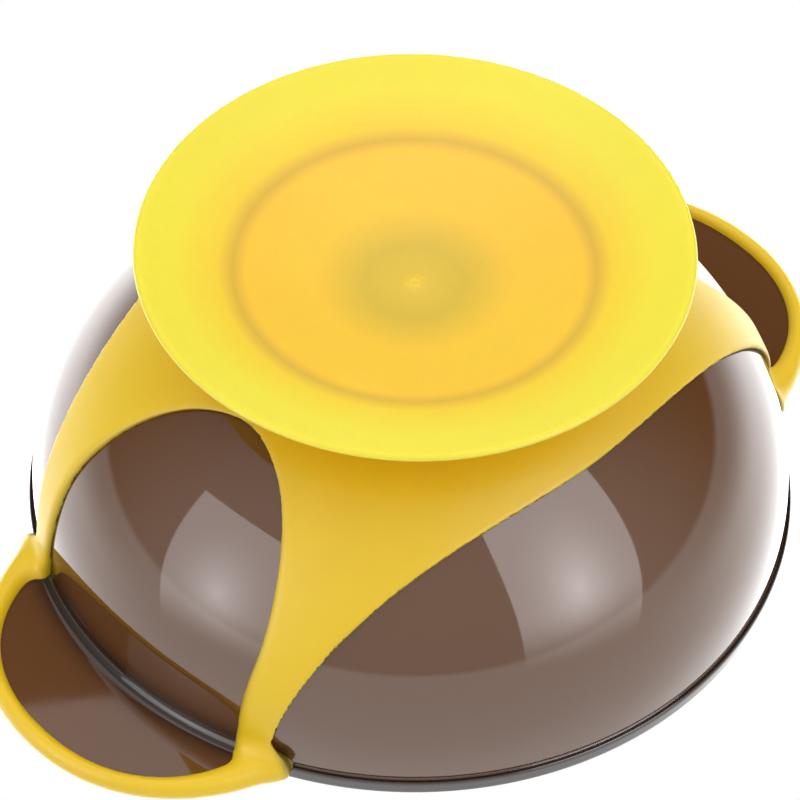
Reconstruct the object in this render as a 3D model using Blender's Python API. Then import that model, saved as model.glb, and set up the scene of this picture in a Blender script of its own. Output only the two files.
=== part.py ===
"""Suction bowl for a small child: a hard two-handled bowl, its soft grip
overmoulding, a soft suction cup, and the hard stud that holds the cup.

Frame: metres, +Z up. The bowl stands in use on the cup's lip at z = 0, with the
bowl's axis on Z and the two handles along +X and -X.
"""
import math

import bmesh
import bpy

MM = 0.001

# ---- driving dimensions, in millimetres ----
RIM_HEIGHT = 58.8          # rim plane above the table
RIM_RADIUS = 65.0          # outside of the rim bead
BEAD_PROUD = 0.7           # bead beyond the wall
BEAD_HEIGHT = 3.0
BEAD_ROUND = 0.5
LIP_ROUND = 0.6            # inner edge of the rim
WALL = 2.2
WALL_REACH = 51.7          # depth at which the wall curve would close
WALL_DROP = 2.65           # exponents of the wall curve
WALL_SWELL = 1.44
FLOOR_HEIGHT = 14.5        # underside of the bowl's floor
GAP = 0.3                  # running and moulding gap between pieces

SKIN = 0.7                 # overmoulding thickness, outside its gap
SKIN_HOLE = 12.0           # radius of the clearance hole for the cup's hub
SIDE_ARCH_WIDTH = 57.6     # half-width, height and exponent of the side windows
SIDE_ARCH_HEIGHT = 39.2
SIDE_ARCH_POWER = 2.3
EAR_ARCH_WIDTH = 22.6      # half-width of the windows over the handles
EAR_ARCH_SPRING = 20.0     # where their straight sides end, below the rim
EAR_ARCH_HEIGHT = 41.8

# Handle outlines are superellipses: centre, reach, half-width, exponent.
EAR_OUTER = (47.5, 36.4, 33.3, 2.1)
EAR_OPENING = (56.0, 24.5, 26.0, 2.2)
EAR_WEB = (48.5, 33.4, 31.3, 2.1)
EAR_TOP = 58.2             # top and bottom of the soft band
EAR_BOTTOM = 54.0
WEB_TOP = 57.2             # top and bottom of the hard web inside it
WEB_BOTTOM = 55.0
EAR_OPENING_ROOT = 50.0    # inner ends of the cuts, hidden inside the bowl
EAR_SLOT_ROOT = 47.0

SOCKET_RADIUS = 8.6        # socket under the floor, for the stud's plug
SOCKET_WALL = 2.2
SOCKET_BOTTOM = 11.5

CUP_RADIUS = 45.0
CUP_DEPTH = 8.8
CUP_LIP = 1.2              # flat contact ring of the lip
CUP_THIN = 1.3             # outer zone of the dish
CUP_THICK = 2.4            # inner zone of the dish
CUP_STEP_RADIUS = 29.4     # between the two zones
CUP_STEP_RUN = 1.0
HUB_RADIUS = 15.2
HUB_TOP = 12.4
HUB_LIP_RADIUS = 11.2      # inward lip that holds the stud's flange

STUD_FLANGE_RADIUS = 12.4
STUD_FLANGE_BOTTOM = 10.0
STUD_FLANGE_TOP = 11.2
STUD_TOP = 14.2
STUD_HOLE_RADIUS = 2.5
PLUG_CHAMFER = 0.5

SEGMENTS = 64
HUB_SEGMENTS = 40
OUTLINE_STEPS = 28
CURVE_STEPS = 13
FINE_STEPS = 52
CUP_STEPS = 12
CUP_ZONE_STEPS = 5
CLEAR = 1.0                # how far a cutter runs past what it cuts


def clear_scene():
    for obj in list(bpy.data.objects):
        bpy.data.objects.remove(obj, do_unlink=True)


def plastic(name, colour, roughness):
    material = bpy.data.materials.new(name)
    material.use_nodes = True
    shader = material.node_tree.nodes["Principled BSDF"]
    shader.inputs["Base Color"].default_value = (*colour, 1.0)
    shader.inputs["Roughness"].default_value = roughness
    shader.inputs["Metallic"].default_value = 0.0
    return material


def finish(name, bm, material=None):
    bmesh.ops.recalc_face_normals(bm, faces=bm.faces)
    if bm.calc_volume(signed=True) < 0:
        bmesh.ops.reverse_faces(bm, faces=bm.faces)
    mesh = bpy.data.meshes.new(name)
    bm.to_mesh(mesh)
    bm.free()
    obj = bpy.data.objects.new(name, mesh)
    bpy.context.collection.objects.link(obj)
    if material:
        mesh.materials.append(material)
        mesh.shade_smooth()
        mesh.set_sharp_from_angle(angle=math.radians(35))
    return obj


def lathe(name, profile, segments, material=None):
    """Turn a closed outline of (radius, height) points about Z."""
    bm = bmesh.new()
    rings = []
    for radius, height in profile:
        if radius < 1e-6:
            rings.append([bm.verts.new((0.0, 0.0, height * MM))])
            continue
        ring = []
        for k in range(segments):
            angle = 2 * math.pi * k / segments
            ring.append(bm.verts.new((radius * MM * math.cos(angle),
                                      radius * MM * math.sin(angle),
                                      height * MM)))
        rings.append(ring)
    for first, second in zip(rings, rings[1:] + rings[:1]):
        if len(first) == 1 and len(second) == 1:
            continue
        for k in range(segments):
            nxt = (k + 1) % segments
            corners = [first[k % len(first)], first[nxt % len(first)],
                       second[nxt % len(second)], second[k % len(second)]]
            bm.faces.new(list(dict.fromkeys(corners)))
    return finish(name, bm, material)


def prism(name, outline, axis, low, high):
    """Extrude a closed outline of (across, up) points along X, Y or Z."""
    bm = bmesh.new()

    def place(across, up, along):
        if axis == "X":
            return (along * MM, across * MM, up * MM)
        if axis == "Y":
            return (across * MM, along * MM, up * MM)
        return (across * MM, up * MM, along * MM)

    first = [bm.verts.new(place(a, u, low)) for a, u in outline]
    second = [bm.verts.new(place(a, u, high)) for a, u in outline]
    bm.faces.new(first)
    bm.faces.new(second)
    for k in range(len(outline)):
        bm.faces.new([first[k - 1], first[k], second[k], second[k - 1]])
    return finish(name, bm)


def combine(target, other, operation):
    """Union another solid in, or cut it out, and keep it as a hidden guide."""
    modifier = target.modifiers.new(operation.title(), "BOOLEAN")
    modifier.operation = operation
    modifier.solver = "EXACT"
    modifier.object = other
    other.hide_render = True
    other.display_type = "WIRE"


def wall_radius(depth):
    """Outer radius of the wall at a depth below the rim plane."""
    share = min(max(depth / WALL_REACH, 0.0), 1.0)
    reach = RIM_RADIUS - BEAD_PROUD
    return reach * (1 - share ** WALL_DROP) ** (1 / WALL_SWELL)


def wall_curve(offset, top, bottom):
    """Wall from top to bottom height, moved out by an offset along its normal."""
    step = 0.02
    points = []
    for k in range(FINE_STEPS + 1):
        share = math.sin(math.pi / 2 * k / FINE_STEPS)
        depth = share * (RIM_HEIGHT - FLOOR_HEIGHT + 3.0)
        slope = (wall_radius(depth + step) - wall_radius(depth - step)) / (2 * step)
        if depth < step:
            slope = 0.0
        length = math.hypot(1.0, slope)
        radius = wall_radius(depth) + offset / length
        height = RIM_HEIGHT - depth + offset * slope / length
        points.append((radius, height))
    curve = []
    for k in range(CURVE_STEPS + 1):
        share = math.sin(math.pi / 2 * k / CURVE_STEPS)
        height = top + (bottom - top) * share
        for (r0, z0), (r1, z1) in zip(points, points[1:]):
            if z0 >= height >= z1:
                blend = (z0 - height) / (z0 - z1)
                curve.append((r0 + (r1 - r0) * blend, height))
                break
        else:
            curve.append((points[0][0], height))
    return curve


def superellipse(shape, start, stop):
    """Points of a handle outline between two angles, as (reach, across)."""
    centre, reach, half_width, power = shape
    points = []
    for k in range(OUTLINE_STEPS + 1):
        angle = start + (stop - start) * k / OUTLINE_STEPS
        c, s = math.cos(angle), math.sin(angle)
        points.append((centre + reach * math.copysign(abs(c) ** (2 / power), c),
                       half_width * math.copysign(abs(s) ** (2 / power), s)))
    return points


def ear_outline(shape, side, inner):
    """Closed handle outline from an inner reach outwards, on the +X or -X side."""
    half = superellipse(shape, -math.pi / 2, math.pi / 2)
    closed = half + [(inner, half[-1][1]), (inner, half[0][1])]
    return [(side * x, side * y) for x, y in closed]


def build_bowl():
    """Hard bowl: wall, rim bead, floor, stud socket and both handle webs."""
    outside = wall_curve(0.0, RIM_HEIGHT - BEAD_HEIGHT, FLOOR_HEIGHT)
    floor_top = FLOOR_HEIGHT + WALL
    inside = wall_curve(-WALL, RIM_HEIGHT - LIP_ROUND, floor_top)
    bead = [(inside[0][0] + BEAD_ROUND, RIM_HEIGHT),
            (RIM_RADIUS - BEAD_ROUND, RIM_HEIGHT),
            (RIM_RADIUS, RIM_HEIGHT - BEAD_ROUND),
            (RIM_RADIUS, RIM_HEIGHT - BEAD_HEIGHT + BEAD_ROUND)]
    socket_outer = SOCKET_RADIUS + SOCKET_WALL
    socket = [(socket_outer, FLOOR_HEIGHT), (socket_outer, SOCKET_BOTTOM),
              (SOCKET_RADIUS, SOCKET_BOTTOM), (SOCKET_RADIUS, FLOOR_HEIGHT),
              (0.0, FLOOR_HEIGHT)]
    profile = [(0.0, floor_top)] + inside[::-1] + bead + outside + socket
    material = plastic("tinted_plastic", (0.075, 0.030, 0.013), 0.12)
    bowl = lathe("bowl_shell", profile, SEGMENTS, material)
    root = RIM_RADIUS - WALL / 2
    for side in (1, -1):
        web = prism("ear_web_guide", ear_outline(EAR_WEB, side, EAR_WEB[0]),
                    "Z", WEB_BOTTOM, WEB_TOP)
        low, high = WEB_BOTTOM - CLEAR, WEB_TOP + CLEAR
        hollow = lathe("ear_root_guide", [(0.0, low), (root, low), (root, high), (0.0, high)],
                       SEGMENTS)
        combine(web, hollow, "DIFFERENCE")
        combine(bowl, web, "UNION")
    return bowl


def build_overmould():
    """Soft skin: base disc, four arms and the band round each handle."""
    skin_top = RIM_HEIGHT - BEAD_HEIGHT - GAP
    hard_floor = FLOOR_HEIGHT - GAP
    near = wall_curve(GAP, skin_top, hard_floor)
    far = wall_curve(GAP + SKIN, skin_top, hard_floor - SKIN)
    profile = near + [(SKIN_HOLE, hard_floor), (SKIN_HOLE, hard_floor - SKIN)]
    material = plastic("soft_yellow", (0.95, 0.56, 0.04), 0.4)
    skin = lathe("grip_overmould", profile + far[::-1], SEGMENTS, material)

    side_arch = []
    ear_arch = []
    for k in range(OUTLINE_STEPS + 1):
        angle = math.pi * k / OUTLINE_STEPS
        c, s = math.cos(angle), math.sin(angle)
        power = 2 / SIDE_ARCH_POWER
        side_arch.append((SIDE_ARCH_WIDTH * math.copysign(abs(c) ** power, c),
                          RIM_HEIGHT - SIDE_ARCH_HEIGHT * s ** power))
        rise = EAR_ARCH_HEIGHT - EAR_ARCH_SPRING
        ear_arch.append((EAR_ARCH_WIDTH * c,
                         RIM_HEIGHT - EAR_ARCH_SPRING - rise * s))
    above = RIM_HEIGHT + CLEAR
    beyond = RIM_RADIUS + EAR_OUTER[1]
    side_arch += [(-SIDE_ARCH_WIDTH, above), (SIDE_ARCH_WIDTH, above)]
    ear_arch += [(-EAR_ARCH_WIDTH, above), (EAR_ARCH_WIDTH, above)]
    combine(skin, prism("side_window_cut", side_arch, "Y", -beyond, beyond), "DIFFERENCE")
    combine(skin, prism("ear_window_cut", ear_arch, "X", -beyond, beyond), "DIFFERENCE")

    shell = wall_curve(GAP, skin_top, EAR_BOTTOM - 2 * CLEAR)
    bead = [(RIM_RADIUS + GAP, above), (RIM_RADIUS + GAP, shell[0][1])]
    core_profile = [(0.0, above)] + bead + shell + [(0.0, shell[-1][1])]
    for side in (1, -1):
        band = prism("ear_band_guide", ear_outline(EAR_OUTER, side, EAR_OUTER[0]),
                     "Z", EAR_BOTTOM, EAR_TOP)
        opening = prism("ear_opening_guide", ear_outline(EAR_OPENING, side, EAR_OPENING_ROOT),
                        "Z", EAR_BOTTOM - CLEAR, EAR_TOP + CLEAR)
        grown = (EAR_WEB[0], EAR_WEB[1] + GAP, EAR_WEB[2] + GAP, EAR_WEB[3])
        slot = prism("ear_slot_guide", ear_outline(grown, side, EAR_SLOT_ROOT),
                     "Z", WEB_BOTTOM - GAP, WEB_TOP + GAP)
        core = lathe("ear_core_guide", core_profile, SEGMENTS)
        combine(band, opening, "DIFFERENCE")
        combine(band, core, "DIFFERENCE")
        combine(skin, band, "UNION")
        combine(skin, slot, "DIFFERENCE")
    return skin


def cup_inner(radius):
    """Height of the cup's hollow face: a shallow dish, flat at the lip."""
    reach = CUP_RADIUS - CUP_LIP
    return CUP_DEPTH * (1 - min(radius / reach, 1.0) ** 2)


def build_cup():
    """Soft suction cup: dish in two thicknesses, hub and centre peg."""
    reach = CUP_RADIUS - CUP_LIP
    under = []
    for k in range(CUP_STEPS + 1):
        radius = reach * k / CUP_STEPS
        under.append((radius, cup_inner(radius)))
    lip = [(CUP_RADIUS - 0.2, 0.0), (CUP_RADIUS, 0.4), (CUP_RADIUS - 0.5, 1.0)]
    thin_end = CUP_STEP_RADIUS + CUP_STEP_RUN
    thin = []
    for k in range(CUP_ZONE_STEPS + 1):
        radius = reach + (thin_end - reach) * k / CUP_ZONE_STEPS
        thin.append((radius, cup_inner(radius) + CUP_THIN))
    thick_end = HUB_RADIUS + CUP_STEP_RUN
    thick = []
    for k in range(CUP_ZONE_STEPS):
        radius = CUP_STEP_RADIUS + (thick_end - CUP_STEP_RADIUS) * k / (CUP_ZONE_STEPS - 1)
        thick.append((radius, cup_inner(radius) + CUP_THICK))
    pocket = STUD_FLANGE_RADIUS + GAP
    peg = STUD_HOLE_RADIUS - GAP
    seat = STUD_FLANGE_BOTTOM - GAP / 2
    hub = [(HUB_RADIUS, HUB_TOP - 0.4), (HUB_RADIUS - 0.4, HUB_TOP),
           (HUB_LIP_RADIUS, HUB_TOP), (HUB_LIP_RADIUS, STUD_FLANGE_TOP + GAP),
           (pocket, STUD_FLANGE_TOP + GAP), (pocket, seat),
           (peg, seat), (peg, STUD_TOP - 1.0), (0.0, STUD_TOP - 1.0)]
    material = plastic("soft_translucent_yellow", (0.96, 0.62, 0.05), 0.35)
    return lathe("suction_cup", under + lip + thin + thick + hub, SEGMENTS, material)


def build_stud():
    """Hard stud: flange held in the cup's hub, plug that fits the bowl's socket."""
    plug = SOCKET_RADIUS - GAP
    profile = [(STUD_HOLE_RADIUS, STUD_FLANGE_BOTTOM),
               (STUD_FLANGE_RADIUS, STUD_FLANGE_BOTTOM),
               (STUD_FLANGE_RADIUS, STUD_FLANGE_TOP),
               (plug, STUD_FLANGE_TOP),
               (plug, STUD_TOP - PLUG_CHAMFER),
               (plug - PLUG_CHAMFER, STUD_TOP),
               (STUD_HOLE_RADIUS, STUD_TOP)]
    material = plastic("dark_plastic", (0.060, 0.026, 0.012), 0.3)
    return lathe("hub_stud", profile, HUB_SEGMENTS, material)


clear_scene()
build_bowl()
build_overmould()
build_cup()
build_stud()
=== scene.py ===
"""Looks of the suction bowl: fine surfaces, materials, stage, lights and camera.

The bowl stands in use on its suction cup, mouth up. The main camera looks at the
underside from below, turned over, which shows the bowl as if it lay mouth down.
"""
import math

import bpy
import numpy as np
from mathutils import Matrix, Quaternion, Vector


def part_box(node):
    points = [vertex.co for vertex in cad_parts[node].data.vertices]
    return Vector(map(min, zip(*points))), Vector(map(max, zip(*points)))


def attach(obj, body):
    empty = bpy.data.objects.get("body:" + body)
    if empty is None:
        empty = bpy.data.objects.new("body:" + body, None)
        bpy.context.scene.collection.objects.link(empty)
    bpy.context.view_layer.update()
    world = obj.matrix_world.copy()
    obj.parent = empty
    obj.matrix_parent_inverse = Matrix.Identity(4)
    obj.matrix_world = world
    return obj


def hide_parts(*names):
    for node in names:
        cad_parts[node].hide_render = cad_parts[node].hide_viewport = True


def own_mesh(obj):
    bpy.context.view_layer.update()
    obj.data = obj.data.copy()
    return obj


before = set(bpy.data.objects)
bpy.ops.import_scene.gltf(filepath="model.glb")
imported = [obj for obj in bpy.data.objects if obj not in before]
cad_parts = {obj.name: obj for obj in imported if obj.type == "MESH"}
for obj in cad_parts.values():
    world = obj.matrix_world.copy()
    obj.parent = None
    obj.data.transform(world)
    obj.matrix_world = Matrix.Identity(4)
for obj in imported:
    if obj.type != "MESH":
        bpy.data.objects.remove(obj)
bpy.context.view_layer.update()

MM = 0.001

# ---- sizes read from the frame, in millimetres ----
SHELL_LOW, SHELL_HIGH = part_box("bowl_shell")
_, SKIN_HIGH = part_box("grip_overmould")
_, CUP_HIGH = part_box("suction_cup")
STUD_LOW, STUD_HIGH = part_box("hub_stud")
RIM_HEIGHT = SHELL_HIGH[2] / MM
RIM_RADIUS = SHELL_HIGH[1] / MM
SOCKET_BOTTOM = SHELL_LOW[2] / MM
CUP_RADIUS = CUP_HIGH[0] / MM
STUD_RADIUS = STUD_HIGH[0] / MM
STUD_BOTTOM = STUD_LOW[2] / MM
STUD_TOP = STUD_HIGH[2] / MM
EAR_TIP = SKIN_HIGH[0] / MM
EAR_TOP = SKIN_HIGH[2] / MM

# ---- shape of the hard bowl ----
BEAD_PROUD = 0.7
BEAD_HEIGHT = 3.0
BEAD_DEPTH = 2.8
BEAD_ROUND = 0.7
BEAD_FILLET = 0.3
GROOVE = 0.4
GROOVE_ROUND = 0.15
GROOVE_BELOW = 0.15
GROOVE_OUT = 0.05
RIM_ROUND = 0.6
MOUTH_ROUND = 1.0
WALL = 2.2
WALL_DEPTH = 51.7
DEPTH_POWER = 2.65
RADIUS_POWER = 1.44
FLOOR_HEIGHT = 14.5
FLOOR_BEND = 4.0
HOLLOW_BEND = 8.0
SOCKET_RADIUS = 8.6
SOCKET_WALL = 2.2
SOCKET_ROOT = 1.0
SOCKET_ROUND = 0.4
SOCKET_FILLET = 0.8
WEB_TOP = 57.2
WEB_BOTTOM = 55.4
WEB_ROUND = 0.6
WEB_FILLET = 2.2
# A handle outline is its centre, reach beyond the centre, half width and power.
EAR_WEB = (48.5, 33.4, 31.3, 2.1)

# ---- shape of the soft skin ----
SKIN = 0.95
SUNK = 0.18
EDGE_ROUND = 2.6
EDGE_INSET = -0.36
SKIN_HOLE = 12.0
SKIN_ROUND = 0.6
SKIN_ON_BEAD = 0.1
SKIN_BEAD_FILLET = 0.5
# Windows: half width, height and power at the sides; half width, spring and rise at the ears.
SIDE_ARCH = (57.6, 39.2, 2.3)
EAR_ARCH = (22.6, 20.0, 21.8)
EAR_OUTER = (EAR_TIP - 36.4, 36.4, 33.3, 2.1)
EAR_OPENING = (56.0, 24.5, 26.0, 2.2)
EAR_BOTTOM = 54.0
BAND_EDGE = 0.8
BAND_ROUND = 2.6
BAND_ROOT = 46.0
BAND_FILLET = 3.6

# ---- shape of the suction cup ----
CUP_DEPTH = 8.8
CUP_THICK = 2.35
CUP_STEP = 29.4
STEP_DROP = 1.1
LIP_INSET = 1.0
LIP_DROP = 0.35
NIB_HEIGHT = 0.28
NIB_RADIUS = 0.75
NIB_WIDTH = 0.28
NIB_PAD = 0.12
HUB_RADIUS = 15.2
HUB_TOP = 12.4
HUB_FOOT = 2.4
HUB_FOOT_RISE = 1.6
PIN_RADIUS = 2.2

# ---- shape of the stud ----
STUD_HOLE = 2.5
STUD_FLANGE = 1.2
STUD_PLAY = 0.3


# ---- distance fields, in millimetres, negative inside ----
def smooth_min(a, b, size):
    """Union of two fields with a fillet."""
    blend = np.maximum(size - np.abs(a - b), 0.0) / size
    return np.minimum(a, b) - blend * blend * size * 0.25


def smooth_max(a, b, size):
    """Cut of one field by another with a rounded edge."""
    return -smooth_min(-a, -b, size)


def wall_field(r, depth, reach, drop):
    """Distance to a wall that meets the rim at reach and the axis drop below it.

    The unit gradient in radius and in depth comes after the distance.
    """
    r = np.maximum(r, 0.5)
    low = np.clip(depth, 0.0, None)
    value = (r / reach) ** RADIUS_POWER + (low / drop) ** DEPTH_POWER - 1.0
    by_r = RADIUS_POWER * (r / reach) ** (RADIUS_POWER - 1) / reach
    by_depth = DEPTH_POWER * (low / drop) ** (DEPTH_POWER - 1) / drop
    length = np.hypot(by_r, by_depth)
    return value / length, by_r / length, by_depth / length


def rounded_ring(r, z, low_r, high_r, low_z, high_z, radius):
    """Distance to a ring with a rounded rectangular section."""
    dr = np.abs(r - (low_r + high_r) / 2) - (high_r - low_r) / 2 + radius
    dz = np.abs(z - (low_z + high_z) / 2) - (high_z - low_z) / 2 + radius
    outside = np.hypot(np.maximum(dr, 0), np.maximum(dz, 0))
    return outside + np.minimum(np.maximum(dr, dz), 0) - radius


def plan_field(x, y, shape):
    """Distance in plan to a handle outline, a half superellipse beyond its centre."""
    centre, reach, half, power = shape
    u = np.maximum(np.abs(x) - centre, 0.0) / reach
    v = np.abs(y) / half
    value = u ** power + v ** power - 1.0
    by_u = power * u ** (power - 1) / reach
    by_v = power * v ** (power - 1) / half
    return value / np.maximum(np.hypot(by_u, by_v), 0.012)


def smoothstep(x, low, high):
    t = np.clip((x - low) / (high - low), 0.0, 1.0)
    return t * t * (3 - 2 * t)


def wall_and_floor(r, z):
    """The bowl's outer wall and floor, filled."""
    wall = wall_field(r, RIM_HEIGHT - z, RIM_RADIUS - BEAD_PROUD, WALL_DEPTH)[0]
    return smooth_max(wall, FLOOR_HEIGHT - z, FLOOR_BEND)


def rim_bead(r, z):
    return rounded_ring(r, z, RIM_RADIUS - BEAD_DEPTH, RIM_RADIUS,
                        RIM_HEIGHT - BEAD_HEIGHT, RIM_HEIGHT, BEAD_ROUND)


def hard_outside(x, y, z):
    """Outer face of the hard bowl without its handles: wall, floor and bead."""
    r = np.hypot(x, y)
    return smooth_min(wall_and_floor(r, z), rim_bead(r, z), SKIN_BEAD_FILLET)


def hollow_field(x, y, z):
    """The room for food inside the bowl."""
    r = np.hypot(x, y)
    reach = RIM_RADIUS - BEAD_PROUD - WALL
    hollow = wall_field(r, RIM_HEIGHT - z, reach, WALL_DEPTH - WALL)[0]
    return smooth_max(hollow, FLOOR_HEIGHT + WALL - z, HOLLOW_BEND)


def bowl_field(x, y, z):
    """The hard bowl: wall, floor, rim bead, handle webs and stud socket, hollowed out."""
    r = np.hypot(x, y)
    middle = (WEB_TOP + WEB_BOTTOM) / 2
    half = (WEB_TOP - WEB_BOTTOM) / 2
    web = smooth_max(plan_field(x, y, EAR_WEB), np.abs(z - middle) - half, WEB_ROUND)
    body = smooth_min(wall_and_floor(r, z), web, WEB_FILLET)
    body = smooth_min(body, rim_bead(r, z), BEAD_FILLET)
    groove_z = RIM_HEIGHT - BEAD_HEIGHT - GROOVE_BELOW
    groove_r = RIM_RADIUS - BEAD_PROUD + GROOVE_OUT
    body = smooth_max(body, GROOVE - np.hypot(r - groove_r, z - groove_z), GROOVE_ROUND)
    socket = rounded_ring(r, z, SOCKET_RADIUS, SOCKET_RADIUS + SOCKET_WALL,
                          SOCKET_BOTTOM, FLOOR_HEIGHT + SOCKET_ROOT, SOCKET_ROUND)
    body = smooth_min(body, socket, SOCKET_FILLET)
    body = smooth_max(body, -hollow_field(x, y, z), MOUTH_ROUND)
    return smooth_max(body, z - RIM_HEIGHT, RIM_ROUND)


def window_distance(x, y, z):
    """Distance along the wall from the nearest window's edge, positive on the skin."""
    r = np.maximum(np.hypot(x, y), 0.5)
    depth = RIM_HEIGHT - z
    _, by_r, by_depth = wall_field(r, depth, RIM_RADIUS - BEAD_PROUD, WALL_DEPTH)
    normal = (by_r * x / r, by_r * y / r, -by_depth)

    def along_wall(value, gx, gy, gz):
        out = gx * normal[0] + gy * normal[1] + gz * normal[2]
        length = np.sqrt((gx - out * normal[0]) ** 2 + (gy - out * normal[1]) ** 2
                         + (gz - out * normal[2]) ** 2)
        return value / np.maximum(length, 0.008)

    low = np.clip(depth, 0.0, None)
    width, height, power = SIDE_ARCH
    a = np.abs(x) / width
    b = low / height
    side = along_wall(a ** power + b ** power - 1.0,
                      power * a ** (power - 1) / width * np.sign(x), 0.0 * y,
                      -power * b ** (power - 1) / height)
    width, spring, rise = EAR_ARCH
    a = np.abs(y) / width
    b = np.maximum(low - spring, 0.0) / rise
    ear = along_wall(a ** 2 + b ** 2 - 1.0, 0.0 * x, 2 * a / width * np.sign(y),
                     -2 * b / rise)
    return np.minimum(side, ear)


def skin_field(x, y, z):
    """Soft skin: base disc and arms on the wall, and the band round each handle."""
    r = np.hypot(x, y)
    hard = hard_outside(x, y, z)
    arms = smooth_max(hard - SKIN, -EDGE_INSET - window_distance(x, y, z), EDGE_ROUND)
    arms = smooth_max(arms, z - (RIM_HEIGHT - BEAD_HEIGHT + SKIN_ON_BEAD), SKIN_ROUND)
    arms = smooth_max(arms, SKIN_HOLE - r, SKIN_ROUND)
    outer = plan_field(x, y, EAR_OUTER)
    section = smooth_max(outer, -plan_field(x, y, EAR_OPENING), BAND_EDGE)
    middle = (EAR_TOP + EAR_BOTTOM) / 2
    half = (EAR_TOP - EAR_BOTTOM) / 2
    band = smooth_max(section, np.abs(z - middle) - half, BAND_ROUND)
    band = smooth_max(band, BAND_ROOT - np.abs(x), SKIN_ROUND)
    skin = smooth_min(arms, band, BAND_FILLET)
    return np.maximum(skin, -SUNK - hard)


# ---- meshing ----
CORNERS = [(i, j, k) for i in (0, 1) for j in (0, 1) for k in (0, 1)]
EDGES = [(a, b) for a in range(8) for b in range(a + 1, 8)
         if sum(abs(p - q) for p, q in zip(CORNERS[a], CORNERS[b])) == 1]
SETTLE_STEPS = 5
SLOPE_FLOOR = 0.05
MARGIN = 1.0


def gradient(field, points, step=0.02):
    """Slope of a field at each point, by differences to both sides."""
    slopes = []
    for axis in range(3):
        shift = np.zeros(3)
        shift[axis] = step
        ahead = field(*(points + shift).T)
        behind = field(*(points - shift).T)
        slopes.append((ahead - behind) / (2 * step))
    return np.stack(slopes, -1)


def spaced(*runs):
    """Grid lines from runs of (start, spacing), ended by the last run's start."""
    lines = [np.arange(start, stop - step / 2, step)
             for (start, step), (stop, _) in zip(runs, runs[1:])]
    return np.append(np.concatenate(lines), runs[-1][0])


def surface(field, radii, turns, heights):
    """Faces on the zero of a field: one point in each crossed cell of a round grid.

    The grid closes on itself in angle, and its innermost cells share a point on the axis.
    Each point then settles onto the zero of the field.
    """
    step = 2 * np.pi / turns
    axes = [radii, step * np.arange(turns + 2), heights]
    r, turn, z = np.meshgrid(*axes, indexing="ij")
    values = field(r * np.cos(turn), r * np.sin(turn), z)
    values[:, turns:] = values[:, :2]
    shape = [n - 1 for n in values.shape]
    corner_values = [values[i:i + shape[0], j:j + shape[1], k:k + shape[2]]
                     for i, j, k in CORNERS]
    inside = sum((v < 0).astype(np.int8) for v in corner_values)
    active = (inside > 0) & (inside < 8)
    active[:, turns] = False
    if radii[0] == 0.0:
        active[0, 1:] = False
    index = np.full(shape, -1, np.int64)
    index[active] = np.arange(active.sum())
    if radii[0] == 0.0:
        index[0] = index[0, :1]
    index[:, turns] = index[:, 0]
    base = np.argwhere(active)
    near = np.stack([v[active] for v in corner_values], -1)
    total = np.zeros((len(base), 3))
    count = np.zeros(len(base))
    for a, b in EDGES:
        crossed = (near[:, a] < 0) != (near[:, b] < 0)
        share = near[crossed, a] / (near[crossed, a] - near[crossed, b])
        start, stop = np.array(CORNERS[a]), np.array(CORNERS[b])
        total[crossed] += start + share[:, None] * (stop - start)
        count[crossed] += 1
    place = base + total / count[:, None]
    r, turn, z = [np.interp(at, np.arange(len(lines)), lines)
                  for at, lines in zip(place.T, axes)]
    r[(base[:, 0] == 0) & (radii[0] == 0.0)] = 0.0
    points = np.stack((r * np.cos(turn), r * np.sin(turn), z), -1)
    limit = 0.5 * np.diff(heights).min()
    for _ in range(SETTLE_STEPS):
        slope = gradient(field, points)
        square = np.maximum((slope ** 2).sum(-1), SLOPE_FLOOR)
        move = -(field(*points.T) / square)[:, None] * slope
        length = np.linalg.norm(move, axis=1, keepdims=True)
        points = points + move * np.minimum(1.0, limit / np.maximum(length, 1e-9))

    quads = []
    for axis in range(3):
        u, v = (axis + 1) % 3, (axis + 2) % 3
        first = [slice(1, -1)] * 3
        second = [slice(1, -1)] * 3
        last = -2 if axis == 1 else -1
        first[axis], second[axis] = slice(0, last), slice(1, last + 1 or None)
        start, stop = values[tuple(first)] < 0, values[tuple(second)] < 0
        for sign in (True, False):
            spots = np.argwhere((start == sign) & (stop != sign))
            spots[:, u] += 1
            spots[:, v] += 1
            ring = []
            for du, dv in ((0, 0), (-1, 0), (-1, -1), (0, -1)):
                cell_at = spots.copy()
                cell_at[:, u] += du
                cell_at[:, v] += dv
                ring.append(index[tuple(cell_at.T)])
            ring = np.stack(ring, -1)
            quads.append(ring if sign else ring[:, ::-1])
    return points, [list(dict.fromkeys(quad)) for quad in np.concatenate(quads).tolist()]


def mesh_object(name, points, faces, normals=None):
    mesh = bpy.data.meshes.new(name)
    mesh.from_pydata((points * MM).tolist(), [], faces)
    mesh.validate()
    mesh.shade_smooth()
    if normals is not None:
        length = np.linalg.norm(normals, axis=1, keepdims=True)
        mesh.normals_split_custom_set_from_vertices((normals / length).tolist())
    obj = bpy.data.objects.new(name, mesh)
    bpy.context.collection.objects.link(obj)
    return obj


def field_object(name, field, radii, turns, heights):
    points, faces = surface(field, radii, turns, heights)
    return mesh_object(name, points, faces, gradient(field, points))


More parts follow.
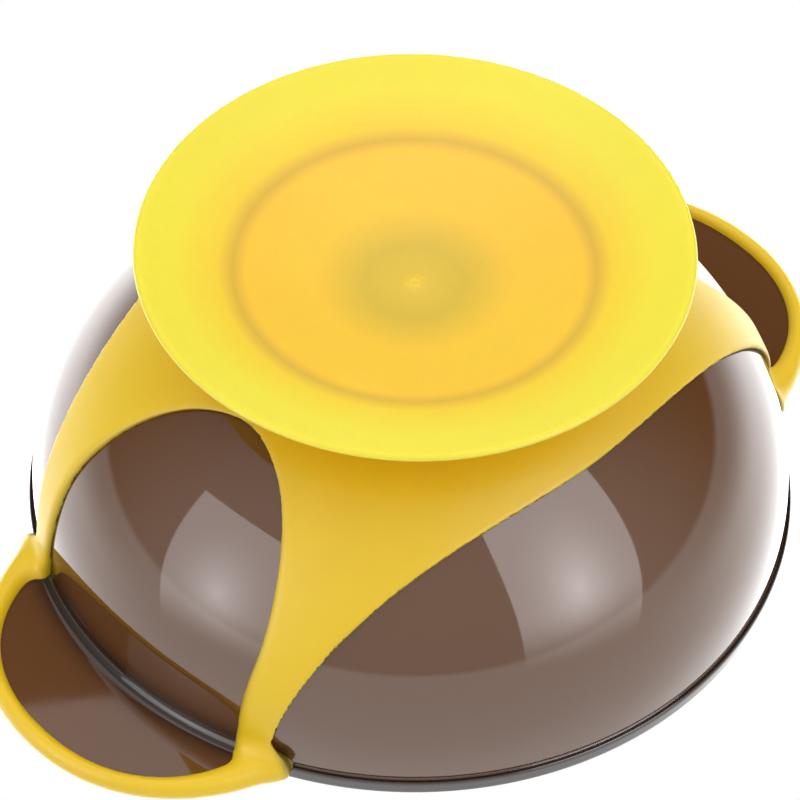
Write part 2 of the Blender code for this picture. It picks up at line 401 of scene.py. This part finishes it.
def lathe_object(name, profile, segments):
    """Turn a closed outline of (radius, height) points about Z."""
    points = []
    rings = []
    for radius, height in profile:
        if radius < 1e-6:
            rings.append([len(points)])
            points.append((0.0, 0.0, height))
            continue
        rings.append(list(range(len(points), len(points) + segments)))
        for k in range(segments):
            angle = 2 * math.pi * k / segments
            points.append((radius * math.cos(angle), radius * math.sin(angle), height))
    faces = []
    for first, second in zip(rings, rings[1:] + rings[:1]):
        if len(first) == 1 and len(second) == 1:
            continue
        for k in range(segments):
            nxt = (k + 1) % segments
            loop = [first[k % len(first)], first[nxt % len(first)],
                    second[nxt % len(second)], second[k % len(second)]]
            faces.append(list(dict.fromkeys(loop)))
    mesh = bpy.data.meshes.new(name)
    mesh.from_pydata((np.array(points) * MM).tolist(), [], faces)
    mesh.validate()
    mesh.shade_smooth()
    obj = bpy.data.objects.new(name, mesh)
    bpy.context.collection.objects.link(obj)
    return obj


# ---- materials ----
# Tint for the rim bead and handle roots: partly thicker plastic, partly painted shade in the
# creases.
THICK_AND_CREASE_SHADE_TINT = (0.12, 0.14, 0.25)
PLAIN_GLOSS = 0.5
DULL_GLOSS = 0.18
ROOT_SHADE = 3.0
EDGE_FADE = 2.6


def new_material(name):
    material = bpy.data.materials.new(name)
    material.use_nodes = True
    tree = material.node_tree
    return material, tree, tree.nodes["Principled BSDF"]


def add_node(tree, kind, **values):
    node = tree.nodes.new(kind)
    for key, value in values.items():
        if key in node.inputs:
            node.inputs[key].default_value = value
        else:
            setattr(node, key, value)
    return node


def object_noise(tree, scale, detail=3.0):
    coords = add_node(tree, "ShaderNodeTexCoord")
    noise = add_node(tree, "ShaderNodeTexNoise", Scale=scale, Detail=detail)
    tree.links.new(coords.outputs["Object"], noise.inputs["Vector"])
    return noise.outputs["Fac"]


def ramp(tree, value, stops):
    node = tree.nodes.new("ShaderNodeValToRGB")
    elements = node.color_ramp.elements
    while len(elements) < len(stops):
        elements.new(0.5)
    for element, (place, colour) in zip(elements, stops):
        element.position = place
        element.color = (*colour, 1.0) if len(colour) == 3 else colour
    tree.links.new(value, node.inputs["Fac"])
    return node.outputs["Color"]


def multiply(tree, first, second):
    node = add_node(tree, "ShaderNodeMix", data_type="RGBA", blend_type="MULTIPLY")
    node.inputs[0].default_value = 1.0
    tree.links.new(first, node.inputs[6])
    tree.links.new(second, node.inputs[7])
    return node.outputs[2]


def bump(tree, shader, height, strength, distance):
    node = add_node(tree, "ShaderNodeBump", Strength=strength, Distance=distance)
    tree.links.new(height, node.inputs["Height"])
    tree.links.new(node.outputs["Normal"], shader.inputs["Normal"])


def tinted_plastic():
    """Clear brown plastic, polished, darker in the rim bead and handle roots (partly thicker
    plastic, partly painted shade in the creases) and duller inside the bowl.
    """
    material, tree, shader = new_material("tinted_plastic")
    flow = object_noise(tree, 18.0, 2.0)
    tint = ramp(tree, flow, [(0.3, (0.172, 0.068, 0.018)), (0.7, (0.192, 0.077, 0.021))])
    # Painted shade: the thick attribute darkens the rim bead and handle roots, partly for
    # thicker plastic, partly as painted shade in the creases.
    thick = add_node(tree, "ShaderNodeAttribute", attribute_name="thick")
    shade = ramp(tree, thick.outputs["Fac"], [(0.0, (1.0, 1.0, 1.0)), (1.0, THICK_AND_CREASE_SHADE_TINT)])
    colour = multiply(tree, tint, shade)
    tree.links.new(colour, shader.inputs["Base Color"])
    dull = add_node(tree, "ShaderNodeAttribute", attribute_name="dull")
    dulled = ramp(tree, dull.outputs["Fac"],
                  [(0.0, (PLAIN_GLOSS,) * 3), (0.6, (DULL_GLOSS,) * 3)])
    tree.links.new(dulled, shader.inputs["Specular IOR Level"])
    marks = object_noise(tree, 120.0, 4.0)
    rough = ramp(tree, marks, [(0.4, (0.03,) * 3), (0.75, (0.05,) * 3)])
    tree.links.new(rough, shader.inputs["Roughness"])
    shader.inputs["Transmission Weight"].default_value = 0.5
    shader.inputs["IOR"].default_value = 1.52
    depth = add_node(tree, "ShaderNodeVolumeAbsorption",
                     Color=(0.55, 0.34, 0.22, 1.0), Density=260.0)
    tree.links.new(depth.outputs[0], tree.nodes["Material Output"].inputs["Volume"])
    return material


def soft_skin():
    """Satin yellow elastomer, thinner and darker where it feathers to the windows: partly brown
    showing through, partly painted shade on the rounded edge.
    """
    material, tree, shader = new_material("soft_skin")
    cloud = object_noise(tree, 35.0, 3.0)
    body = ramp(tree, cloud, [(0.3, (0.85, 0.575, 0.010)), (0.7, (0.90, 0.620, 0.014))])
    # Painted shade: the ramp darkens the skin towards the windows, partly brown showing through
    # the feathered skin, partly painted shade on the rounded edge.
    edge = add_node(tree, "ShaderNodeAttribute", attribute_name="edge")
    thin_skin_and_edge_shade = ramp(tree, edge.outputs["Fac"],
                [(0.0, (0.24, 0.26, 0.8)), (0.25, (0.42, 0.46, 0.8)), (0.65, (0.85, 0.86, 0.95)),
                 (1.0, (1.0, 1.0, 1.0))])
    colour = multiply(tree, body, thin_skin_and_edge_shade)
    tree.links.new(colour, shader.inputs["Base Color"])
    grain = object_noise(tree, 1600.0, 2.0)
    rough = ramp(tree, grain, [(0.3, (0.36,) * 3), (0.7, (0.46,) * 3)])
    tree.links.new(rough, shader.inputs["Roughness"])
    shader.inputs["Specular IOR Level"].default_value = 0.35
    shader.inputs["Subsurface Weight"].default_value = 0.6
    shader.inputs["Subsurface Radius"].default_value = (1.0, 0.55, 0.12)
    shader.inputs["Subsurface Scale"].default_value = 0.0012
    bump(tree, shader, grain, 0.12, 0.00006)
    return material


def soft_cup():
    """Translucent yellow elastomer, lemon in the thinner outer zone of the dish (partly the
    thinner sheet, partly painted backlight), with a painted shadow line at the step and painted
    shade over the hub.
    """
    material, tree, shader = new_material("soft_cup")
    coords = add_node(tree, "ShaderNodeTexCoord")
    flat = add_node(tree, "ShaderNodeVectorMath", operation="MULTIPLY")
    flat.inputs[1].default_value = (1.0, 1.0, 0.0)
    tree.links.new(coords.outputs["Object"], flat.inputs[0])
    length = add_node(tree, "ShaderNodeVectorMath", operation="LENGTH")
    tree.links.new(flat.outputs[0], length.inputs[0])
    share = add_node(tree, "ShaderNodeMath", operation="DIVIDE")
    share.inputs[1].default_value = CUP_RADIUS * MM
    tree.links.new(length.outputs["Value"], share.inputs[0])
    inner = (0.98, 0.62, 0.045)
    outer = (0.98, 0.78, 0.055)
    step = CUP_STEP / CUP_RADIUS
    # Painted light: the darker middle is painted shade over the hub; a painted shadow line lies
    # just inside the step with a lighter band outside it; the lemon outer zone is partly the
    # thinner sheet, partly painted backlight.
    cup_zones_and_painted_light = ramp(tree, share.outputs[0], [
        (0.0, (0.95, 0.66, 0.07)), (0.05, (0.84, 0.57, 0.06)), (0.18, (0.76, 0.53, 0.055)),
        (0.36, inner), (step - 0.05, inner), (step - 0.005, (0.76, 0.50, 0.05)),
        (step + 0.05, (0.98, 0.68, 0.04)), (0.85, outer), (1.0, outer)])
    cloud = object_noise(tree, 30.0, 3.0)
    shade = ramp(tree, cloud, [(0.3, (0.96, 0.95, 0.92)), (0.7, (1.0, 1.0, 1.0))])
    colour = multiply(tree, cup_zones_and_painted_light, shade)
    tree.links.new(colour, shader.inputs["Base Color"])
    grain = object_noise(tree, 1500.0, 2.0)
    rough = ramp(tree, grain, [(0.3, (0.38,) * 3), (0.7, (0.48,) * 3)])
    tree.links.new(rough, shader.inputs["Roughness"])
    shader.inputs["Specular IOR Level"].default_value = 0.35
    shader.inputs["Subsurface Weight"].default_value = 0.8
    shader.inputs["Subsurface Radius"].default_value = (1.0, 0.6, 0.12)
    shader.inputs["Subsurface Scale"].default_value = 0.0025
    bump(tree, shader, grain, 0.10, 0.00005)
    return material


def stud_plastic():
    """Dark brown moulded plastic with a fine satin grain."""
    material, tree, shader = new_material("stud_plastic")
    cloud = object_noise(tree, 60.0, 3.0)
    tint = ramp(tree, cloud, [(0.3, (0.045, 0.020, 0.010)), (0.7, (0.062, 0.028, 0.014))])
    tree.links.new(tint, shader.inputs["Base Color"])
    grain = object_noise(tree, 1800.0, 2.0)
    rough = ramp(tree, grain, [(0.3, (0.25,) * 3), (0.7, (0.36,) * 3)])
    tree.links.new(rough, shader.inputs["Roughness"])
    bump(tree, shader, grain, 0.1, 0.00005)
    return material


# ---- pieces ----
def finish_piece(obj, body, node, material):
    """Give a piece its material and body, and let it show in place of a solid."""
    obj.data.materials.append(material)
    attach(obj, body)
    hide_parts(node)


def coordinates(obj):
    """The points of a mesh as x, y and z, in millimetres."""
    points = np.empty(len(obj.data.vertices) * 3)
    obj.data.vertices.foreach_get("co", points)
    return points.reshape(-1, 3).T / MM


def store(obj, name, values):
    attribute = obj.data.attributes.new(name, "FLOAT", "POINT")
    attribute.data.foreach_set("value", values.astype(np.float32))


def thick_and_crease_shade_shares(x, y, z):
    """Share of a point that lies in the rim bead, and in the root of a handle; both darken the
    colour, partly for the thicker plastic there, partly as painted shade in the creases.
    """
    r = np.hypot(x, y)
    bead = smoothstep(r, RIM_RADIUS - 1.2, RIM_RADIUS - 0.6) * (r < RIM_RADIUS + 0.2)
    bead *= smoothstep(z, RIM_HEIGHT - BEAD_HEIGHT - 1.0, RIM_HEIGHT - BEAD_HEIGHT)
    wall = RIM_RADIUS - BEAD_PROUD
    corner = np.minimum(np.hypot(r - wall, z - WEB_BOTTOM), np.hypot(r - wall, z - WEB_TOP))
    root = np.exp(-(corner / ROOT_SHADE) ** 2) * (plan_field(x, y, EAR_WEB) < 0.5)
    return bead, root


def add_bowl(cell):
    """Round grid, finer through the rim bead and the roots of the handles."""
    fine = 0.55 * cell
    turns = round(340 / cell)
    radii = spaced((0.0, cell), (RIM_RADIUS - 5, fine), (RIM_RADIUS + 2, cell),
                   (EAR_TIP + MARGIN, None))
    heights = spaced((SOCKET_BOTTOM - MARGIN, cell), (WEB_BOTTOM - 2, fine),
                     (RIM_HEIGHT + MARGIN, None))
    obj = field_object("bowl_shell_fine", bowl_field, radii, turns, heights)
    place = coordinates(obj)
    bead, root = thick_and_crease_shade_shares(*place)
    # thick: darker colour in the rim bead and handle roots, partly thicker plastic, partly
    # painted crease shade.
    store(obj, "thick", np.maximum(bead, root))
    inside = 1 - smoothstep(hollow_field(*place), 0.2, 0.8)
    store(obj, "dull", np.maximum(inside, root))
    finish_piece(obj, "bowl", "bowl_shell", tinted_plastic())


def add_skin(cell):
    """Skin with the distance to its edges stored, for the colour where it gets thinner and for
    the painted shade on its rounded edges.
    """
    turns = round(320 / cell)
    radii = spaced((SKIN_HOLE - MARGIN, cell), (EAR_TIP + MARGIN, None))
    heights = spaced((FLOOR_HEIGHT - SKIN - MARGIN, cell), (EAR_TOP + MARGIN, None))
    obj = field_object("grip_overmould_fine", skin_field, radii, turns, heights)
    x, y, z = coordinates(obj)
    on_band = smoothstep(np.hypot(x, y), RIM_RADIUS + 0.3, RIM_RADIUS + 3.0)
    on_wall = np.clip(window_distance(x, y, z) / EDGE_FADE, 0.0, 1.0)
    # edge drives the darker colour near the windows: partly brown showing through, partly
    # painted edge shade.
    store(obj, "edge", np.maximum(on_wall, on_band))
    finish_piece(obj, "bowl", "grip_overmould", soft_skin())


def cup_profile():
    """Outline of the cup's section: under the dish, round the lip, over the top, the hub."""
    lip = CUP_RADIUS - LIP_INSET
    near = [0.0, 0.3, 0.55, 0.8, 1.0, 1.3, 1.7, 2.2, 2.6, 3.0, 3.6]
    under = []
    for r in near + list(np.linspace(4.5, lip, 52)):
        dish = CUP_DEPTH * (1 - (r / lip) ** 2)
        ring = NIB_HEIGHT * math.exp(-((r - NIB_RADIUS) / NIB_WIDTH) ** 2)
        pad = NIB_PAD * (1 - float(smoothstep(r, 1.6, 3.0)))
        under.append((r, dish - (ring + pad)))
    edge = [(lip + 0.35, 0.02), (lip + 0.7, 0.12), (lip + 0.93, 0.36), (lip + 1.0, 0.62),
            (lip + 0.88, 0.9), (lip + 0.55, 1.1), (lip + 0.1, 1.2)]
    top = []
    for r in np.linspace(lip - 0.6, HUB_RADIUS + HUB_FOOT, 60):
        dish = CUP_DEPTH * (1 - (r / lip) ** 2)
        thick = CUP_THICK - STEP_DROP * float(smoothstep(r, CUP_STEP - 0.9, CUP_STEP + 1.2))
        thick -= LIP_DROP * float(smoothstep(r, CUP_RADIUS - 9.0, CUP_RADIUS - 1.5))
        top.append((float(r), dish + thick))
    foot_r, foot_z = top[-1]
    fillet = []
    for k in range(1, 8):
        turn = math.pi / 2 * k / 8
        fillet.append((foot_r - HUB_FOOT * math.sin(turn),
                       foot_z + HUB_FOOT_RISE * (1 - math.cos(turn))))
    pocket = STUD_RADIUS + STUD_PLAY
    floor = STUD_BOTTOM - 0.15
    hub = [(HUB_RADIUS, HUB_TOP - 0.5), (HUB_RADIUS - 0.15, HUB_TOP - 0.15),
           (HUB_RADIUS - 0.5, HUB_TOP), (pocket + 0.3, HUB_TOP), (pocket, HUB_TOP - 0.3),
           (pocket, floor), (PIN_RADIUS, floor),
           (PIN_RADIUS, STUD_TOP - 1.0), (0.0, STUD_TOP - 1.0)]
    return under + edge + top + fillet + hub


def add_cup():
    """Soft cup, turned from its section; the real cup flattens to the table as the bowl is
    pressed down.
    """
    obj = lathe_object("suction_cup_fine", cup_profile(), 256)
    obj.data.set_sharp_from_angle(angle=math.radians(50))
    finish_piece(obj, "cup", "suction_cup", soft_cup())
    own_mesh(obj)


def add_stud():
    """Ring-shaped stud: a flange in the cup's hub and a plug for the bowl's socket."""
    plug = SOCKET_RADIUS - STUD_PLAY
    flange = STUD_BOTTOM + STUD_FLANGE
    profile = [(STUD_HOLE, STUD_BOTTOM), (STUD_RADIUS - 0.2, STUD_BOTTOM),
               (STUD_RADIUS, STUD_BOTTOM + 0.2), (STUD_RADIUS, flange - 0.2),
               (STUD_RADIUS - 0.2, flange), (plug + 0.3, flange), (plug, flange + 0.3),
               (plug, STUD_TOP - 0.6), (plug - 0.2, STUD_TOP - 0.15),
               (plug - 0.6, STUD_TOP), (STUD_HOLE + 0.3, STUD_TOP),
               (STUD_HOLE, STUD_TOP - 0.3)]
    obj = lathe_object("hub_stud_fine", profile, 128)
    obj.data.set_sharp_from_angle(angle=math.radians(50))
    finish_piece(obj, "hub", "hub_stud", stud_plastic())


# ---- stage ----
FLOOR_SIDE = 3.0
BELOW_AXIS = (0.0, 0.0, -1.0)
ABOVE_AXIS = (0.0, 0.0, 1.0)
# In the gloss: one side of the room, the room above the table, and a bright sweep.
GLOSS_AXIS = (-0.671, 0.695, -0.259)
GLOSS_DARK = 0.1
GLOSS_BRIGHT = 1.3
GLOSS_ABOVE = 1.05
GLOSS_HORIZON = 3.0
SWEEP_AXIS = (0.707, -0.707, 0.0)
# For diffuse light, by the height that it comes from.
AMBIENT_BELOW = 1.2
AMBIENT_LEVEL = 0.36
AMBIENT_ABOVE = 0.85
SEEN_THROUGH = 0.9
SOFTBOX_DISTANCE = 0.7
SOFTBOX_AIM = 0.03
SOFTBOX_TINT = (0.97, 0.97, 1.0)
SOFTBOX_CORE = 1.2
SOFTBOX_BASE = 0.8
SOFTBOX_FADE = (0.55, 1.0, 1.0, 0.0)


def add_floor():
    """Pale floor that is seen from above and lets the camera look up through it."""
    mesh = bpy.data.meshes.new("floor")
    side = FLOOR_SIDE
    corners = [(-side, -side, 0), (side, -side, 0), (side, side, 0), (-side, side, 0)]
    mesh.from_pydata(corners, [], [(0, 1, 2, 3)])
    floor = bpy.data.objects.new("floor", mesh)
    bpy.context.collection.objects.link(floor)
    material, tree, shader = new_material("floor")
    shader.inputs["Base Color"].default_value = (0.86, 0.86, 0.85, 1.0)
    shader.inputs["Roughness"].default_value = 0.7
    clear = add_node(tree, "ShaderNodeBsdfTransparent")
    geometry = add_node(tree, "ShaderNodeNewGeometry")
    mix = add_node(tree, "ShaderNodeMixShader")
    tree.links.new(geometry.outputs["Backfacing"], mix.inputs[0])
    tree.links.new(shader.outputs[0], mix.inputs[1])
    tree.links.new(clear.outputs[0], mix.inputs[2])
    tree.links.new(mix.outputs[0], tree.nodes["Material Output"].inputs["Surface"])
    mesh.materials.append(material)
    floor.visible_shadow = False
    floor.visible_diffuse = False
    floor.visible_glossy = False
    floor.visible_transmission = False


def add_softbox(name, turn, rise, lean, width, height, power):
    """Rectangular light that shows only in the bowl's gloss, brighter in its middle.

    It stands at turn and rise degrees, turned by lean about its own axis, and its width
    and height are shares of its distance. One of its ends fades out.
    """
    distance = SOFTBOX_DISTANCE
    light = bpy.data.lights.new(name, "AREA")
    light.shape = "RECTANGLE"
    light.size = width * distance
    light.size_y = height * distance
    light.energy = power
    light.color = SOFTBOX_TINT
    obj = bpy.data.objects.new(name, light)
    turn, rise = math.radians(turn), math.radians(rise)
    way = Vector((math.cos(turn) * math.cos(rise), math.sin(turn) * math.cos(rise),
                  math.sin(rise)))
    obj.location = Vector((0.0, 0.0, SOFTBOX_AIM)) + distance * way
    obj.rotation_mode = "QUATERNION"
    level = (-way).to_track_quat("-Z", "Y")
    obj.rotation_quaternion = level @ Quaternion((0.0, 0.0, 1.0), math.radians(lean))
    obj.visible_camera = False
    obj.visible_transmission = False
    obj.visible_diffuse = False
    light.use_nodes = True
    tree = light.node_tree
    coords = add_node(tree, "ShaderNodeTexCoord")
    centred = add_node(tree, "ShaderNodeVectorMath", operation="MULTIPLY_ADD")
    centred.inputs[1].default_value = (2.0, 2.0, 0.0)
    centred.inputs[2].default_value = (-1.0, -1.0, 0.0)
    tree.links.new(coords.outputs["UV"], centred.inputs[0])
    core = add_node(tree, "ShaderNodeTexGradient", gradient_type="QUADRATIC_SPHERE")
    tree.links.new(centred.outputs[0], core.inputs["Vector"])
    glow = add_node(tree, "ShaderNodeMath", operation="MULTIPLY_ADD")
    glow.inputs[1].default_value = SOFTBOX_CORE
    glow.inputs[2].default_value = SOFTBOX_BASE
    tree.links.new(core.outputs["Fac"], glow.inputs[0])
    parts = add_node(tree, "ShaderNodeSeparateXYZ")
    tree.links.new(coords.outputs["UV"], parts.inputs[0])
    fade = tree.nodes.new("ShaderNodeMapRange")
    fade.interpolation_type = "SMOOTHSTEP"
    for socket, value in zip(fade.inputs[1:5], SOFTBOX_FADE):
        socket.default_value = value
    tree.links.new(parts.outputs["Y"], fade.inputs[0])
    strength = add_node(tree, "ShaderNodeMath", operation="MULTIPLY")
    tree.links.new(glow.outputs[0], strength.inputs[0])
    tree.links.new(fade.outputs[0], strength.inputs[1])
    tree.links.new(strength.outputs[0], tree.nodes["Emission"].inputs["Strength"])
    bpy.context.collection.objects.link(obj)


def add_world():
    """White studio that lights evenly and is brighter on one side in the gloss."""
    world = bpy.data.worlds.new("studio")
    bpy.context.scene.world = world
    world.use_nodes = True
    world.cycles.sampling_method = "NONE"
    tree = world.node_tree
    background = tree.nodes["Background"]
    background.inputs["Color"].default_value = (1.0, 1.0, 1.0, 1.0)
    coords = add_node(tree, "ShaderNodeTexCoord")
    path = add_node(tree, "ShaderNodeLightPath")

    def along(axis, low, high, dark, bright):
        """Dark to bright as a direction turns towards an axis, by its cosine."""
        dot = add_node(tree, "ShaderNodeVectorMath", operation="DOT_PRODUCT")
        dot.inputs[1].default_value = axis
        tree.links.new(coords.outputs["Generated"], dot.inputs[0])
        span = tree.nodes.new("ShaderNodeMapRange")
        span.interpolation_type = "SMOOTHSTEP"
        for socket, value in zip(span.inputs[1:5], (low, high, dark, bright)):
            socket.default_value = value
        tree.links.new(dot.outputs["Value"], span.inputs[0])
        return span.outputs[0]

    def choose(flag, other, chosen):
        """One strength for a kind of ray and another for every other kind."""
        mix = add_node(tree, "ShaderNodeMix", data_type="FLOAT")
        for socket, value in zip(mix.inputs[:4], (path.outputs[flag], None, other, chosen)):
            if isinstance(value, bpy.types.NodeSocket):
                tree.links.new(value, socket)
            elif value is not None:
                socket.default_value = value
        return mix.outputs[0]

    gloss = add_node(tree, "ShaderNodeMath", operation="ADD")
    side = along(GLOSS_AXIS, -0.5, 0.45, GLOSS_DARK, GLOSS_BRIGHT)
    room = along(ABOVE_AXIS, -0.23, -0.17, 0.0, GLOSS_ABOVE)
    tree.links.new(side, gloss.inputs[0])
    tree.links.new(room, gloss.inputs[1])
    horizon = add_node(tree, "ShaderNodeMath", operation="MULTIPLY_ADD")
    tree.links.new(along(ABOVE_AXIS, -0.15, 0.2, 0.0, GLOSS_HORIZON), horizon.inputs[0])
    tree.links.new(along(SWEEP_AXIS, -0.5, 0.7, 0.0, 1.0), horizon.inputs[1])
    tree.links.new(gloss.outputs[0], horizon.inputs[2])
    ambient = add_node(tree, "ShaderNodeMath", operation="ADD")
    below = along(BELOW_AXIS, 0.0, 0.7, AMBIENT_LEVEL, AMBIENT_BELOW)
    above = along(ABOVE_AXIS, 0.0, 0.6, 0.0, AMBIENT_ABOVE - AMBIENT_LEVEL)
    tree.links.new(below, ambient.inputs[0])
    tree.links.new(above, ambient.inputs[1])
    strength = choose("Is Diffuse Ray", horizon.outputs[0], ambient.outputs[0])
    strength = choose("Is Transmission Ray", strength, SEEN_THROUGH)
    strength = choose("Is Camera Ray", strength, 1.0)
    tree.links.new(strength, background.inputs["Strength"])


# ---- camera, with its aim off the rim's centre as a share of its distance ----
CAMERA_TURN = math.radians(43.8)
CAMERA_PITCH = math.radians(48.2)
CAMERA_ROLL = math.radians(1.05)
CAMERA_DISTANCE = 0.6226
CAMERA_LENS = 163.5
AIM_ASIDE = 0.0028
AIM_UP = -0.0232


def add_camera():
    """Look up at the underside of the bowl, upside down, with a long lens."""
    c, s = math.cos(CAMERA_PITCH), math.sin(CAMERA_PITCH)
    ahead = Vector((math.sin(CAMERA_TURN) * c, -math.cos(CAMERA_TURN) * c, s))
    level = Vector((math.cos(CAMERA_TURN), math.sin(CAMERA_TURN), 0.0))
    above = level.cross(ahead)
    right = level * math.cos(CAMERA_ROLL) + above * math.sin(CAMERA_ROLL)
    up = above * math.cos(CAMERA_ROLL) - level * math.sin(CAMERA_ROLL)
    target = Vector((0.0, 0.0, RIM_HEIGHT * MM))
    place = target - CAMERA_DISTANCE * (ahead + AIM_ASIDE * right + AIM_UP * up)
    camera = bpy.data.cameras.new("camera")
    camera.lens = CAMERA_LENS
    camera.sensor_width = 36.0
    camera.clip_start = 0.01
    obj = bpy.data.objects.new("camera", camera)
    axes = Matrix((right, up, -ahead)).transposed()
    obj.matrix_world = Matrix.Translation(place) @ axes.to_4x4()
    bpy.context.collection.objects.link(obj)
    bpy.context.scene.camera = obj


BOWL_CELL = 0.65
SKIN_CELL = 0.5
add_bowl(BOWL_CELL)
add_skin(SKIN_CELL)
add_cup()
add_stud()
add_floor()
add_world()
add_softbox("front_box", 81, -30.0, -15, 0.64, 1.22, 5.6)
add_softbox("side_box", -171, -21.0, 13, 0.62, 1.02, 3.6)
add_softbox("top_box", -55, -70.0, 180, 0.93, 0.57, 1.5)
add_camera()
bpy.context.scene.view_settings.view_transform = "Standard"
